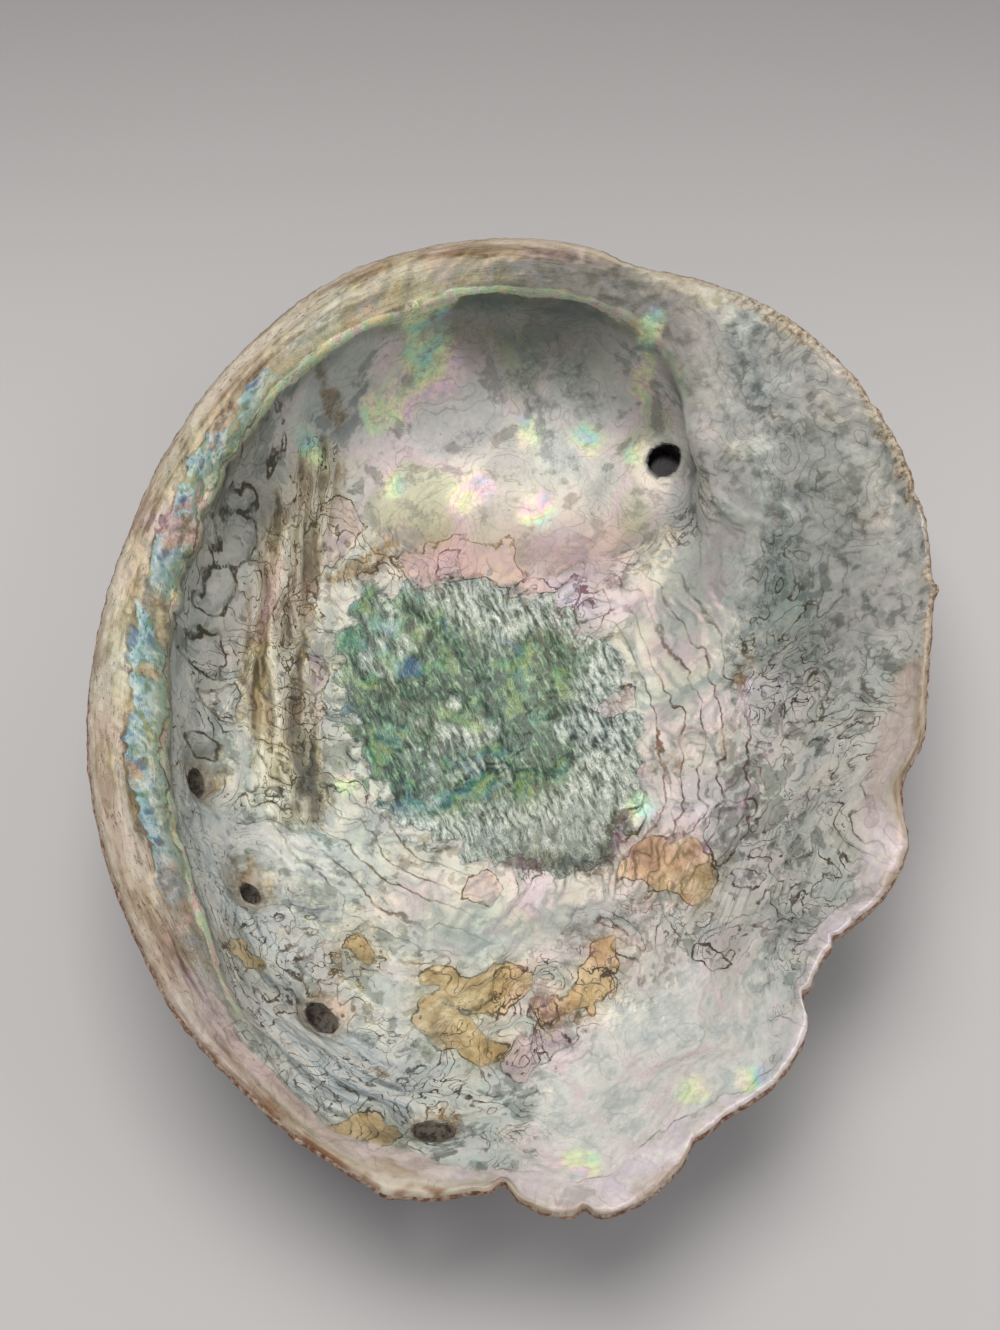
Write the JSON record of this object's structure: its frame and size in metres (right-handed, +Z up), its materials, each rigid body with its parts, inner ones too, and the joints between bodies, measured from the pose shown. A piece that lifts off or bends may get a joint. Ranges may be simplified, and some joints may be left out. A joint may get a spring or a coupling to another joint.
{
  "type": "abalone shell",
  "caption": "Empty abalone shell lying on its back: an oval pearly bowl with a broad flat ledge, a row of pores, a spire pit and a thin scalloped lip.",
  "frame": {"origin": "middle of the shell's bounding box in plan, on the surface that its worn back rests on", "axes": "+Z up out of the open bowl; +Y along the shell towards its old end with the spire; the row of pores is on the -X side"},
  "size_m": [0.1608, 0.1964, 0.0511],
  "materials": {
    "shell": "satin"
  },
  "bodies": {
    "root": {"shell": "shell"}
  },
  "joints": []
}
